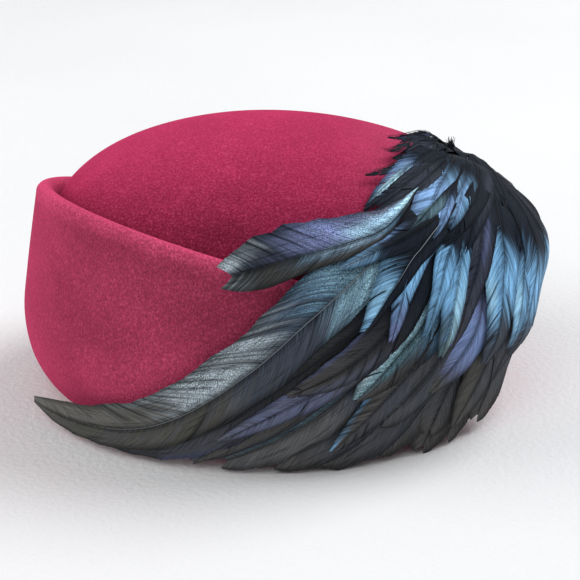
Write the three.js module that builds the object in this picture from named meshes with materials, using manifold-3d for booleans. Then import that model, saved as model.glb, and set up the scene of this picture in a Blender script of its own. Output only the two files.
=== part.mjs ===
// Fascinator hat: an oval felt crown with a turned-up felt cuff, and a drape of cock feathers
// laid in tiers from a root line high on one side. Units are millimetres, +Z is up, the hat
// stands on the folded bottom edge of its cuff, and +X points to the feathered side.

import * as THREE from 'three';
import { mergeVertices } from 'three/addons/utils/BufferGeometryUtils.js';
import Module from 'manifold-3d';

const wasm = await Module();
wasm.setup();

// ---------------------------------------------------------------- driving dimensions

const HAT_CENTRE = { x: 0.31, y: 1.93 };  // places the bottom centre of the whole box at 0, 0
const DEPTH_RATIO = 0.86;                 // front-to-back size over side-to-side size
const FELT = 2.2;                         // felt thickness
const GAP = 0.3;                          // clearance between pieces that touch

const CROWN = {
  halfWidth: 90,       // at its widest
  openingHalfWidth: 78,
  widestHeight: 64,
  rise: 42,            // from the widest height to the top
  sway: -0.022,        // share by which it is wider away from the feathers
  lean: -0.045,        // drop of the top towards +X, per millimetre
};

const CUFF = {
  rimMean: 57,
  rimSwing: 31,        // the rim climbs and falls by this around the hat
  rimPeak: 213,        // azimuth of its highest point, degrees
  rollRadius: 2.5,     // of the doubled-over top edge
  rollSway: -0.5,      // roll is fuller on the plain side
  hem: 6,              // depth of the felt turned down inside the roll
};

// Half width of the cuff at each height, on the plain side and on the feathered side.
const CUFF_OUTLINE = [
  { height: 0, plain: 86, feathered: 79 },
  { height: 4, plain: 92, feathered: 81 },
  { height: 10, plain: 97.5, feathered: 85 },
  { height: 20, plain: 102, feathered: 90 },
  { height: 34, plain: 103.6, feathered: 93.5 },
  { height: 50, plain: 101.6, feathered: 93.5 },
  { height: 66, plain: 99, feathered: 93 },
  { height: 90, plain: 96.5, feathered: 93 },
];

const FEATHER = {
  thickness: 0.7,      // at the shaft; the edges are sharp
  edgeRise: 0.1,
  taperFrom: 0.75,     // share of the length from which it narrows to its tip
  settleFrom: 0.5,     // share of the length from which a tip comes down to the felt
  station: 9,          // length between its cross-sections
};

// Height of each tier over the surface that the feathers drape on.
const TIER_LIFT = { under: 1.1, drape: 2.3, long: 3.6, cover: 4.9, notched: 6.6, hackle: 8.5 };

// Each row is one feather: its width, then azimuth (degrees) and height (mm) at the root, at
// its bends and at the tip. settle is how far the tip comes down towards the felt.
const UNDER_FEATHERS = [
  { width: 20, path: [[308, 82], [275, 42], [248, 13], [222, 7]] },
  { width: 16, path: [[310, 82], [284, 40], [264, 15], [249, 2]] },
  { width: 16, path: [[312, 82], [290, 38], [270, 14], [257, 4]] },
  { width: 20, path: [[315, 82], [298, 40], [280, 15], [270, 6]] },
  { width: 22, path: [[318, 82], [306, 44], [293, 19], [284, 6]] },
  { width: 20, path: [[322, 82], [314, 46], [303, 22], [295, 9]] },
  { width: 18, path: [[325, 82], [318, 48], [309, 27], [303, 18]] },
];

const DRAPE_FEATHERS = [
  { width: 12, path: [[306, 82], [291, 54], [278, 40], [266, 28]] },
  { width: 10, path: [[307, 82], [287, 47], [270, 28], [256, 14]] },
  { width: 15, path: [[310, 82], [301, 60], [293, 44], [284, 29]] },
  { width: 14, path: [[312, 82], [301, 48], [290, 27], [279, 9]] },
  { width: 11, path: [[318, 82], [315, 60], [309, 42], [301, 27]] },
  { width: 20, path: [[323, 82], [321, 58], [317, 32], [309, 12]] },
  { width: 18, path: [[328, 82], [330, 58], [326, 38], [318, 24]] },
  { width: 16, path: [[333, 82], [337, 58], [333, 40], [326, 28]] },
  { width: 16, path: [[340, 82], [346, 60], [343, 42], [336, 30]] },
  { width: 16, path: [[346, 82], [355, 62], [353, 44], [347, 31]] },
  { width: 16, path: [[351, 82], [364, 63], [364, 46], [358, 33]] },
  { width: 12, path: [[350, 82], [366, 78], [380, 66]] },
  { width: 12, path: [[350, 84], [362, 88], [378, 86]] },
  { width: 12, path: [[347, 84], [353, 92], [363, 97]] },
];

const LONG_FEATHER = {
  width: 24,
  taperFrom: 0.45,
  path: [[301, 84], [279, 66], [262, 40], [241, 16], [204, 13]],
};

const COVER_FEATHERS = [
  { width: 10, path: [[307, 88], [296, 84], [283, 79]] },
  { width: 20, path: [[307, 87], [299, 73], [290, 53]] },
  { width: 12, path: [[311, 87], [306, 72], [300, 50]] },
  { width: 8, path: [[315, 87], [311, 68], [304, 43]] },
  { width: 12, path: [[319, 87], [316, 72], [311, 55]] },
  { width: 16, path: [[325, 87], [324, 70], [321, 49]] },
  { width: 14, path: [[331, 87], [333, 70], [330, 46]] },
  { width: 14, path: [[337, 87], [342, 70], [340, 46]] },
  { width: 14, path: [[343, 86], [351, 70], [350, 48]] },
  { width: 14, path: [[348, 86], [359, 71], [361, 51]] },
];

const NOTCHED_FEATHER = {
  width: 17,
  settle: 4.4,
  path: [[307, 89], [298, 81], [281, 78], [258, 74]],
};

const HACKLES = [
  { width: 9, settle: 6.5, path: [[337, 90], [341, 95], [347, 98]] },
  { width: 9, settle: 6.5, path: [[333, 90], [334, 96], [331, 100]] },
  { width: 9, settle: 4.5, path: [[336, 91], [331, 94], [318, 98]] },
  { width: 10, settle: 1.0, path: [[330, 91], [320, 96], [307, 97]] },
  { width: 9, settle: 1.0, path: [[328, 91], [317, 92], [302, 90]] },
  { width: 10, settle: 1.0, path: [[326, 91], [313, 88], [299, 84]] },
  { width: 10, settle: 1.0, path: [[330, 91], [320, 86], [310, 80]] },
  { width: 9, settle: 1.0, path: [[332, 91], [325, 84], [318, 77]] },
  { width: 9, settle: 1.0, path: [[336, 91], [331, 84], [326, 75]] },
  { width: 9, settle: 1.0, path: [[339, 91], [338, 83], [335, 74]] },
  { width: 9, settle: 1.0, path: [[340, 89], [343, 82], [344, 73]] },
];

// The band that the roots of a tier are bound into.
const ROOT_BAND = {
  low: { width: 12, path: [[303, 82], [328, 83], [353, 82]] },
  middle: { width: 11, path: [[306, 88], [328, 88], [349, 86]] },
  high: { width: 10, path: [[324, 91], [332, 91], [340, 90]] },
};

// ---------------------------------------------------------------- surfaces of the hat

const radians = THREE.MathUtils.degToRad;
const smoothstep = THREE.MathUtils.smoothstep;
const mix = THREE.MathUtils.lerp;

// Reads one column of a table by height, with a smooth curve through its rows.
function readOutline(rows, column, height) {
  const last = rows.length - 1;
  if (height <= rows[0].height) return rows[0][column];
  if (height >= rows[last].height) return rows[last][column];
  const i = rows.findIndex((row) => row.height > height) - 1;
  const slope = (k) => {
    const before = rows[Math.max(k - 1, 0)];
    const after = rows[Math.min(k + 1, last)];
    return (after[column] - before[column]) / (after.height - before.height);
  };
  const step = rows[i + 1].height - rows[i].height;
  const t = (height - rows[i].height) / step;
  const t2 = t * t;
  const t3 = t2 * t;
  return (2 * t3 - 3 * t2 + 1) * rows[i][column] + (t3 - 2 * t2 + t) * step * slope(i)
    + (3 * t2 - 2 * t3) * rows[i + 1][column] + (t3 - t2) * step * slope(i + 1);
}

// The crown swells from its opening to its widest height, and closes as half an ellipse.
function crownRadius(azimuth, height) {
  const { halfWidth, openingHalfWidth, widestHeight, rise, sway } = CROWN;
  const up = Math.min((height - widestHeight) / rise, 1);
  const swell = Math.sin((Math.PI / 2) * (height / widestHeight));
  const radius = up < 0 ? mix(openingHalfWidth, halfWidth, swell) : halfWidth * Math.sqrt(1 - up * up);
  return radius * (1 + sway * Math.cos(azimuth));
}

function rimHeight(azimuth) {
  return CUFF.rimMean + CUFF.rimSwing * Math.cos(azimuth - radians(CUFF.rimPeak));
}

function cuffRadius(azimuth, height) {
  const plain = readOutline(CUFF_OUTLINE, 'plain', height);
  const feathered = readOutline(CUFF_OUTLINE, 'feathered', height);
  return mix(plain, feathered, (1 + Math.cos(azimuth)) / 2);
}

function rollRadius(azimuth) {
  return CUFF.rollRadius + CUFF.rollSway * Math.cos(azimuth);
}

// Places a radius on the hat's oval, with the crown's lean above its widest height.
function onOval(azimuth, radius, height) {
  const x = radius * Math.cos(azimuth);
  const y = DEPTH_RATIO * radius * Math.sin(azimuth);
  const up = Math.max((height - CROWN.widestHeight) / CROWN.rise, 0);
  return new THREE.Vector3(HAT_CENTRE.x + x, HAT_CENTRE.y + y, height + CROWN.lean * x * up);
}

// The surface that feathers lie on: crown, then over the cuff's rim, then straight down.
function drapeRadius(azimuth, height) {
  const belly = 34;
  const overRim = 1 - smoothstep(height, rimHeight(azimuth) - 8, rimHeight(azimuth) + 18);
  const hang = cuffRadius(azimuth, Math.max(height, belly)) - 0.03 * Math.max(belly - height, 0);
  const crown = crownRadius(azimuth, height);
  const puff = 10 * Math.exp(-(((height - 54) / 24) ** 2)) * Math.max(Math.cos(azimuth), 0) ** 3;
  return Math.max(mix(crown, hang, overRim), crown) + puff;
}

function drapePoint(azimuth, height, lift) {
  const at = (a, h) => onOval(a, drapeRadius(a, h), h);
  const step = 0.01;
  const point = at(azimuth, height);
  const around = at(azimuth + step, height).sub(at(azimuth - step, height)).divideScalar(2 * step);
  const up = at(azimuth, height + step).sub(at(azimuth, height - step)).divideScalar(2 * step);
  const outward = around.clone().cross(up).normalize();
  return { point: point.addScaledVector(outward, lift), around, up };
}

// ---------------------------------------------------------------- closed meshes

// Joins rings of equal point counts into a closed skin. Each ring turns anticlockwise about the
// way to the next one. The last ring meets the first, unless both ends are capped.
function skin(rings, capped = false) {
  const size = rings[0].length;
  const positions = rings.flat().flatMap((p) => [p.x, p.y, p.z]);
  const index = [];
  const spans = capped ? rings.length - 1 : rings.length;
  for (let i = 0; i < spans; i += 1) {
    for (let j = 0; j < size; j += 1) {
      const a = i * size + j;
      const b = i * size + ((j + 1) % size);
      const c = ((i + 1) % rings.length) * size + j;
      const d = ((i + 1) % rings.length) * size + ((j + 1) % size);
      index.push(a, b, c, b, d, c);
    }
  }
  if (capped) {
    const lastRing = (rings.length - 1) * size;
    for (let j = 1; j < size - 1; j += 1) {
      index.push(0, j + 1, j);
      index.push(lastRing, lastRing + j, lastRing + j + 1);
    }
  }
  return dropFlatTriangles(mergeVertices(bufferGeometry(positions, index), 1e-4));
}

function bufferGeometry(positions, index) {
  const geometry = new THREE.BufferGeometry();
  geometry.setAttribute('position', new THREE.Float32BufferAttribute(positions, 3));
  geometry.setIndex(index);
  return geometry;
}

// Merged points, such as those at the top of a dome, leave triangles with a repeated corner.
function dropFlatTriangles(geometry) {
  const index = geometry.index.array;
  const kept = [];
  for (let i = 0; i < index.length; i += 3) {
    const [a, b, c] = index.slice(i, i + 3);
    if (a !== b && b !== c && c !== a) kept.push(a, b, c);
  }
  return geometry.setIndex(kept);
}

function toManifold(geometry) {
  const vertProperties = new Float32Array(geometry.attributes.position.array);
  const triVerts = new Uint32Array(geometry.index.array);
  return new wasm.Manifold(new wasm.Mesh({ numProp: 3, vertProperties, triVerts }));
}

function fromManifold(solid) {
  const mesh = solid.getMesh();
  return bufferGeometry(mesh.vertProperties, [...mesh.triVerts]);
}

// ---------------------------------------------------------------- felt

const AROUND = 50;

function azimuths() {
  return Array.from({ length: AROUND }, (_, i) => (2 * Math.PI * i) / AROUND);
}

// Felt dome: the inner face from the bottom edge to the top, and the outer face back down.
function crownGeometry() {
  const bottom = FELT + GAP;
  const below = 4;
  const above = 8;
  const heights = [];
  for (let i = 0; i < below; i += 1) {
    heights.push(mix(bottom, CROWN.widestHeight, i / below));
  }
  for (let i = 0; i <= above; i += 1) {
    heights.push(CROWN.widestHeight + CROWN.rise * Math.sin((Math.PI / 2) * (i / above)));
  }
  const outside = (azimuth, height) => onOval(azimuth, crownRadius(azimuth, height), height);
  const inside = (azimuth, height) => {
    const radius = Math.max(crownRadius(azimuth, height) - FELT, 0);
    const up = Math.max(height - CROWN.widestHeight, 0) / CROWN.rise;
    return onOval(azimuth, radius, height).setZ(outside(azimuth, height).z - FELT * up);
  };
  const rings = azimuths().map((azimuth) => [
    ...heights.map((height) => inside(azimuth, height)),
    ...heights.toReversed().map((height) => outside(azimuth, height)),
  ]);
  return skin(rings);
}

// Felt cuff, one section at each azimuth: a flat fold under the crown's edge, the wall, and a
// rolled rim whose felt is turned down inside as a hem.
function cuffSection(azimuth) {
  const roll = rollRadius(azimuth);
  const rollHeight = rimHeight(azimuth) - roll;
  const hemEnd = rollHeight - CUFF.hem;
  const wallSteps = [0.06, 0.14, 0.26, 0.42, 0.6, 0.8, 1];
  const outside = (height) => cuffRadius(azimuth, height);
  const foldInside = crownRadius(azimuth, 0) - FELT;
  const points = [[foldInside, 0], [outside(0), 0]];
  wallSteps.map((step) => step * rollHeight).forEach((height) => points.push([outside(height), height]));
  const rollCentre = outside(rollHeight) - roll;
  for (const turn of [36, 72, 108, 144, 180].map(radians)) {
    points.push([rollCentre + roll * Math.cos(turn), rollHeight + roll * Math.sin(turn)]);
  }
  points.push([rollCentre - roll, hemEnd]);
  for (const step of [1, 0.8, 0.6, 0.4, 0.2, 0.08, 0]) {
    const height = mix(FELT, hemEnd, step);
    points.push([outside(height) - FELT, height]);
  }
  points.push([foldInside, FELT]);
  return points.toReversed().map(([radius, height]) => onOval(azimuth, radius, 0).setZ(height));
}

function cuffGeometry() {
  return skin(azimuths().map(cuffSection));
}

// ---------------------------------------------------------------- feathers

// Share of a feather's full width: narrow at the root and pointed at the tip.
function featherTaper(along, taperFrom) {
  const toTip = Math.max(along - taperFrom, 0) / (1 - taperFrom);
  return Math.min(0.4 + 2 * along, 1) * Math.max(Math.sqrt(1 - toTip * toTip), 0.12);
}

// A strip laid on the drape surface along a path of [azimuth, height] points, with a shaft
// ridge and sharp edges.
function strip({ width, path, settle = 0 }, lift, taper) {
  const reach = CROWN.halfWidth;
  const curve = new THREE.CatmullRomCurve3(
    path.map(([azimuth, height]) => new THREE.Vector3(radians(azimuth) * reach, height, 0)),
  );
  const rings = [];
  const spans = Math.ceil(curve.getLength() / FEATHER.station);
  for (let i = 0; i <= spans; i += 1) {
    const along = i / spans;
    const centre = curve.getPointAt(along);
    const heading = curve.getTangentAt(along);
    const azimuth = centre.x / reach;
    const height = centre.y;
    const low = lift - settle * smoothstep(along, FEATHER.settleFrom, 1);
    const { point, around, up } = drapePoint(azimuth, height, low);
    const outward = around.clone().cross(up).normalize();
    const forward = around.clone().multiplyScalar(heading.x / reach).addScaledVector(up, heading.y);
    const side = outward.clone().cross(forward).setLength((width / 2) * taper(along));
    // Steps in azimuth and height that carry a point along the surface by the side vector.
    const aa = around.dot(around);
    const au = around.dot(up);
    const uu = up.dot(up);
    const spread = aa * uu - au * au;
    const stepAround = (side.dot(around) * uu - side.dot(up) * au) / spread;
    const stepUp = (side.dot(up) * aa - side.dot(around) * au) / spread;
    const edge = (way) => drapePoint(
      azimuth + way * stepAround,
      height + way * stepUp,
      low + FEATHER.edgeRise,
    ).point;
    const shaft = point.clone().addScaledVector(outward, FEATHER.thickness);
    rings.push([edge(1), shaft, edge(-1), point]);
  }
  return toManifold(skin(rings, true));
}

function feather(row, lift) {
  const { taperFrom = FEATHER.taperFrom } = row;
  return strip(row, lift, (along) => featherTaper(along, taperFrom));
}

// A tier of feathers, fused to the band that binds their roots. Pockets that crossing feathers
// shut in are filled, by keeping only the outer skin.
function tier(rows, band, lift) {
  const solid = rows.reduce((whole, row) => whole.add(feather(row, lift)), strip(band, lift, () => 1));
  const skins = solid.decompose();
  return fromManifold(skins.reduce((a, b) => (b.volume() > a.volume() ? b : a)));
}

// ---------------------------------------------------------------- the hat

const felt = { color: 0xa52d54, roughness: 0.95, metalness: 0 };
const darkFeather = { color: 0x2a2f36, roughness: 0.5, metalness: 0 };
const blueFeather = { color: 0x3f6f9c, roughness: 0.4, metalness: 0 };
const tealFeather = { color: 0x5f7f86, roughness: 0.4, metalness: 0 };
const violetFeather = { color: 0x5a5a86, roughness: 0.4, metalness: 0 };

const hat = new THREE.Group();

function addPart(name, geometry, look) {
  const mesh = new THREE.Mesh(geometry, new THREE.MeshStandardMaterial(look));
  mesh.name = name;
  hat.add(mesh);
}

addPart('crown', crownGeometry(), felt);
addPart('cuff', cuffGeometry(), felt);
addPart('under_feathers', tier(UNDER_FEATHERS, ROOT_BAND.low, TIER_LIFT.under), darkFeather);
addPart('drape_feathers', tier(DRAPE_FEATHERS, ROOT_BAND.low, TIER_LIFT.drape), blueFeather);
addPart('long_feather', fromManifold(feather(LONG_FEATHER, TIER_LIFT.long)), tealFeather);
addPart('cover_feathers', tier(COVER_FEATHERS, ROOT_BAND.middle, TIER_LIFT.cover), blueFeather);
addPart('notched_feather', fromManifold(feather(NOTCHED_FEATHER, TIER_LIFT.notched)), violetFeather);
addPart('hackles', tier(HACKLES, ROOT_BAND.high, TIER_LIFT.hackle), darkFeather);

export default hat;
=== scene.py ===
import math
from types import SimpleNamespace as Sizes

import bmesh
import bpy
import numpy as np
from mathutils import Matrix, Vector


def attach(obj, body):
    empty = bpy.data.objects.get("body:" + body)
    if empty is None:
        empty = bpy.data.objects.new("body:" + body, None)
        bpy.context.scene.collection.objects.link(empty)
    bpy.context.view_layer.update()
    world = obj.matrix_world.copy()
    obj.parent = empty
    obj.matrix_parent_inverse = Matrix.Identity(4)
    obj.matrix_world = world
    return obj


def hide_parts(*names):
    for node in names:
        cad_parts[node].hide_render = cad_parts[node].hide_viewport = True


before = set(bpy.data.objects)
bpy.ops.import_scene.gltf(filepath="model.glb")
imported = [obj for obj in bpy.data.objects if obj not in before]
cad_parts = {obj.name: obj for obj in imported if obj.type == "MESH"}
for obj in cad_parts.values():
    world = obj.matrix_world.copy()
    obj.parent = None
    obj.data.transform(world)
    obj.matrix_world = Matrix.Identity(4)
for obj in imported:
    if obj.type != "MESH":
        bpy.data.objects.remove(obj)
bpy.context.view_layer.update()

MM = 0.001

# ---- the hat's own sizes
HAT_CENTRE = (0.31, 1.93)
DEPTH_RATIO = 0.86
FELT = 2.2
GAP = 0.3
CROWN = Sizes(
    half_width=90.0, opening_half_width=78.0, widest_height=64.0, rise=42.0,
    sway=-0.022, lean=-0.045,
)
CUFF = Sizes(
    rim_mean=57.0, rim_swing=31.0, rim_peak=213.0, roll_radius=2.5, roll_sway=-0.9,
    roll_from=12.0, hem=6.0,
)
# Half width of the cuff at each height, on the plain side and on the feathered side.
CUFF_OUTLINE = {
    "height": (0.0, 4.0, 10.0, 20.0, 34.0, 50.0, 66.0, 90.0),
    "plain": (86.0, 92.0, 97.5, 102.0, 103.6, 101.6, 99.0, 94.8),
    "feathered": (79.0, 81.0, 85.0, 90.0, 93.5, 93.5, 93.0, 93.0),
}
# The surface that feathers lie on: round the rim it passes from the crown to the cuff, below the
# cuff's belly it hangs and draws in a little, and it puffs out over the feathered side.
DRAPE = Sizes(
    belly=34.0, draw_in=0.03, rim_from=-8.0, rim_to=18.0, puff=10.0,
    puff_height=54.0, puff_reach=24.0,
)
# Painted light and shade on the nap: how much lighter or darker it is made in places, added to a factor
# on the felt's own colour, and the azimuth where the painted highlight on the rim's crest is strongest.
CROWN_SHADE = Sizes(low=-0.20, top=0.14, near_feathers=0.3, left=0.35, front=-0.22)
CUFF_SHADE = Sizes(crest=0.62, crest_glow=0.45, glow_at=258.0, foot=0.2, belly=0.5, side=0.12)
# Share of paler tint on the nap: painted highlight beside the feathers, and on the cuff, more near its
# foot.
PALE_TONE_AND_SHEEN = Sizes(near_feathers=0.25, cuff=0.16, cuff_foot=0.12)
# Height of the unevenness of the blocked crown, and its waves in a turn.
RIPPLE = 0.35
RIPPLE_WAVES = (2, 3, 5, 7, 9)

# ---- feathers
VANE = Sizes(
    barb_spacing=0.5,  # along the shaft
    barb_steps=8,  # steps along one barb
    slant=1.8,  # run of a barb towards the tip for each step outwards
    thickness=0.1,
    ridge=0.35,  # rise of the vane beside its shaft
    droop=0.15,  # fall of its edges
    tilt=0.2,  # rise of the right edge, so that feathers overlap
    ripple=0.2,  # unevenness of the edges' rise
    ragged=0.015,  # unevenness of the barbs' lengths, as a share
    wavy=0.05,  # how far the edges wave, as a share
    # dark_sides is painted shade beside the shaft and at the edges.
    dark_sides=0.6,  # how much darker it is beside the shaft and at the edges
    slit=0.3,  # half the opening of a slit at the vane's edge
    slit_reach=4.0,  # length of shaft over which barbs make room for a slit
    # slit_shade is the length over which shade is painted beside a slit.
    slit_shade=0.9,  # length over which they are darker
    slit_every=40.0,  # mean length between slits that aren't in the tables
    streaks=((0.2, 1), (0.3, 3), (0.2, 9)),  # unevenness of sheen: size, and over how many barbs
    grit=0.05,  # how far specks break up the sheen
    taper_from=0.5,  # share of the length where a pointed feather starts to narrow
    blunt_from=0.75,  # the same for a blunt one
    settle_from=0.5,  # the same for the tip's way down to the felt
    root_width=0.5,  # share of the full width at the root
    opening=2.0,  # how fast it widens from there
    least_width=0.12,  # the least share of the width before the tip
    point_at=1.02,  # share of the length where the outline would close
    barbs_to=0.985,  # share of the length that carries barbs
    crease=50.0,  # degrees between faces from which an edge stays sharp
    uv_across=2.0,  # stretch of the barb coordinates from shaft to edge
)
# What looseness adds: uneven lengths of barbs, gaps between them, and lift at their ends.
LOOSE = Sizes(lengths=0.22, gaps=0.45, lift=0.25)
# How raggedly and softly a patch of sheen begins and ends, along the feather and across a vane.
PATCH = Sizes(ragged=0.03, before=0.07, after=0.10, fade=0.06, past=0.05, inner=0.15, outer=0.25)
# A feather narrower than full_width has a thinner shaft.
SHAFT = Sizes(root_radius=0.30, tip_radius=0.07, full_width=16.0, points=60, rise=0.7 * VANE.ridge)
# The slits of a feather whose vanes are whole.
WHOLE = ([], [])
# Lift over the felt of the lowest feather of a tier, the step up from one to the next, how much
# lower the roots lie, the share of the length over which they rise, and what its rows share.
TIERS = {
    "under_feathers": {"lift": 0.6, "step": 0.25, "tip": "blunt", "slits": WHOLE},
    "drape_feathers": {"lift": 2.8, "step": 0.15},
    "long_feather": {"lift": 4.8, "step": 0.0},
    "cover_feathers": {"lift": 5.2, "step": 0.2, "root_drop": 3.0, "rise_to": 0.6},
    "notched_feather": {"lift": 7.3, "step": 0.0},
    "hackles": {"lift": 7.3, "step": 0.08, "root_drop": 5.5, "rise_to": 0.45},
}
# Linear colours of the sheen on the vanes. The last three have no gloss.
SKY = (0.26, 0.57, 0.92)
PALE = (0.55, 0.88, 0.98)
STEEL = (0.13, 0.27, 0.42)
TEAL = (0.11, 0.20, 0.24)
SILVER = (0.52, 0.61, 0.67)
LAVENDER = (0.19, 0.23, 0.44)
PERIWINKLE = (0.25, 0.42, 0.74)
VIOLET = (0.105, 0.115, 0.165)
SLATE = (0.065, 0.076, 0.102)
OLIVE = (0.084, 0.083, 0.073)
ASH = (0.17, 0.165, 0.15)
MATTE = (SLATE, OLIVE, ASH)
# The vane without sheen, over the crown and near the hat's foot.
INK = (0.013, 0.017, 0.026)
SOOT = (0.084, 0.082, 0.081)
INK_DOWN_TO = 68.0
SOOT_UP_TO = 24.0
# The vanes of a feather, as seen with the tip down.
LEFT, RIGHT, BOTH = -1.0, 1.0, 0.0
# The stretch of a vane, from the shaft at 0 to the edge at 1, that a patch of sheen covers.
ALL, EDGE, RIM, OUTER, SPINE = (-1.0, 2.0), (0.70, 2.0), (0.88, 2.0), (0.45, 2.0), (-1.0, 0.45)
# Each row is one feather, from the lowest in its tier to the highest: its width, its path, which
# is azimuth and height at the root, at its bends and at the tip, and its patches of sheen:
# colour, vane, from and to, strength, and the stretch where it isn't ALL. From and to are heights
# where they fall, and shares of the length where they rise. Words that VANE has too stand in for
# its values, but streaks is a factor on VANE's. right_width is the width of the right vane against
# the left, at the root and at the tip, and notch the depth of a V at the tip. settle is how far
# the tip comes down to the felt, and sink how far the feather lies below its place in the tier.
# slits are the places of slits in the left and the right vane, as shares of the length, and a row
# without them gets some by chance. loose is how far barbs part, hairs the number of loose ones
# beside it, and pale_shaft how light the shaft is.


def feather(width, path, *patches, **details):
    return {"width": width, "path": path, "patches": patches, **details}


UNDER_FEATHERS = [
    feather(24, [[326, 82], [319, 46], [313, 24], [309, 3]]),
    feather(26, [[321, 82], [309, 45], [298, 22], [290, 6]], (SLATE, BOTH, 40, 10, 0.4)),
    feather(26, [[334, 82], [330, 48], [325, 24], [319, 7]], (SLATE, BOTH, 40, 10, 0.4)),
    feather(26, [[324, 82], [315, 46], [308, 26], [303, 9]], (SLATE, BOTH, 40, 10, 0.4)),
    feather(24, [[318, 82], [303, 44], [291, 20], [277, 5]], (SLATE, BOTH, 40, 5, 0.5)),
    feather(20, [[315, 82], [296, 40], [282, 18], [268, 5]], (OLIVE, LEFT, 30, 0, 0.9),
        (SLATE, RIGHT, 35, 8, 0.6), grit=0.3),
    feather(19, [[312, 82], [288, 40], [273, 19], [257, 5]], (SLATE, BOTH, 40, 0, 0.9),
        (TEAL, LEFT, 36, 0, 0.5), (ASH, RIGHT, 30, 0, 0.5), grit=0.6),
    feather(17, [[310, 82], [282, 44], [267, 23], [250, 3]], (VIOLET, LEFT, 36, -6, 1.0),
        (LAVENDER, LEFT, 30, 8, 0.4, RIM), (SLATE, RIGHT, 36, 5, 0.8, RIM), tip="pointed", grit=0.4),
    feather(20, [[308, 82], [276, 44], [250, 14], [222, 5]], (SLATE, BOTH, 40, 6, 0.5),
        (LAVENDER, RIGHT, 18, 11, 0.7, RIM), tip="pointed"),
    feather(24, [[326, 82], [316, 46], [308, 24], [301.5, 2.5]], (SLATE, BOTH, 40, 6, 0.4), sink=2.0),
]
DRAPE_FEATHERS = [
    feather(16, [[351, 82], [364, 63], [364, 46], [358, 34]], (STEEL, BOTH, 60, 42, 0.7), settle=2.0),
    feather(16, [[346, 82], [355, 62], [353, 44], [347, 32]], (STEEL, BOTH, 58, 38, 0.8),
        (SLATE, BOTH, 46, 28, 0.8), settle=2.0),
    feather(17, [[340, 82], [346, 60], [343, 42], [335, 29]], (STEEL, BOTH, 56, 34, 0.8),
        (SLATE, BOTH, 44, 24, 0.6), settle=2.0),
    feather(18, [[333, 82], [337, 58], [333, 40], [325, 27]], (STEEL, BOTH, 54, 32, 0.7),
        (SLATE, BOTH, 44, 24, 0.6), settle=1.5),
    feather(20, [[328, 82], [330, 58], [325, 34], [316, 19]], (SLATE, BOTH, 48, 20, 0.6), settle=1.0),
    feather(22, [[323, 82], [321, 50], [317, 28], [309, 9]], (SLATE, RIGHT, 50, 14, 0.5),
        (OLIVE, LEFT, 40, 0, 0.4)),
    feather(12, [[350, 82], [366, 78], [380, 66]]),
    feather(14, [[350, 89], [362, 87], [378, 83]]),
    feather(14, [[347, 94], [358, 94], [372, 92]]),
    feather(17, [[317, 82], [308, 52], [299, 32], [290, 19]], (SLATE, BOTH, 50, 14, 0.5), tip="blunt"),
    feather(15, [[312, 82], [301, 48], [290, 27], [279, 9]], (SKY, LEFT, 31, 19, 0.9, RIM),
        (SKY, LEFT, 16, 6, 0.55, OUTER), (SLATE, RIGHT, 40, 10, 0.5),
        slits=([0.7, 0.76, 0.82, 0.88], [0.8, 0.86, 0.92]), slit=0.1),
    feather(22, [[314, 82], [304, 63], [296, 49], [284, 29]], (SKY, LEFT, 74, 48, 0.85),
        (STEEL, RIGHT, 70, 46, 0.7), (STEEL, LEFT, 60, 36, 0.8), (TEAL, LEFT, 50, 20, 0.9),
        (TEAL, RIGHT, 54, 28, 0.9, SPINE), (PALE, LEFT, 66, 26, 0.55), (SILVER, LEFT, 48, 28, 0.45, OUTER),
        slits=([0.35, 0.5, 0.62, 0.8], [0.45, 0.7]), grit=0.9),
    feather(15, [[321, 84], [316, 56], [309, 40], [301, 27]], (LAVENDER, BOTH, 56, 32, 1.0),
        (PERIWINKLE, BOTH, 52, 36, 0.3), taper_from=0.62, slits=WHOLE),
    feather(12, [[307, 82], [287, 47], [270, 28], [256, 14]], (VIOLET, BOTH, 40, 8, 0.8),
        (LAVENDER, BOTH, 36, 14, 0.2), (LAVENDER, LEFT, 40, 22, 0.5, RIM)),
    feather(14, [[306, 82], [290, 52], [282, 42], [270, 33]], (LAVENDER, LEFT, 52, 34, 0.7, RIM),
        (VIOLET, RIGHT, 50, 34, 0.6, OUTER)),
]
LONG_FEATHERS = [
    feather(24, [[301, 84], [279, 66], [262, 40], [241, 16], [202, 6]], (SLATE, BOTH, 74, 0, 0.9),
        (OLIVE, BOTH, 38, -20, 0.85), (ASH, LEFT, 26, -30, 0.45), (STEEL, LEFT, 90, 57, 1.0),
        (STEEL, RIGHT, 90, 64, 0.9), (PALE, BOTH, 80, 64, 0.35), (SILVER, LEFT, 50, 20, 1.0),
        (SILVER, LEFT, 26, 13, 0.9, RIM), taper_from=0.42, right_width=(0.85, 0.85), settle=1.5,
        slits=([0.27, 0.35, 0.39, 0.43, 0.46, 0.5, 0.53, 0.57, 0.61, 0.66], [0.5]), slit=0.05,
        slit_shade=1.5, grit=1.0, streaks=2.0, pale_shaft=0.3),
]
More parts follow.
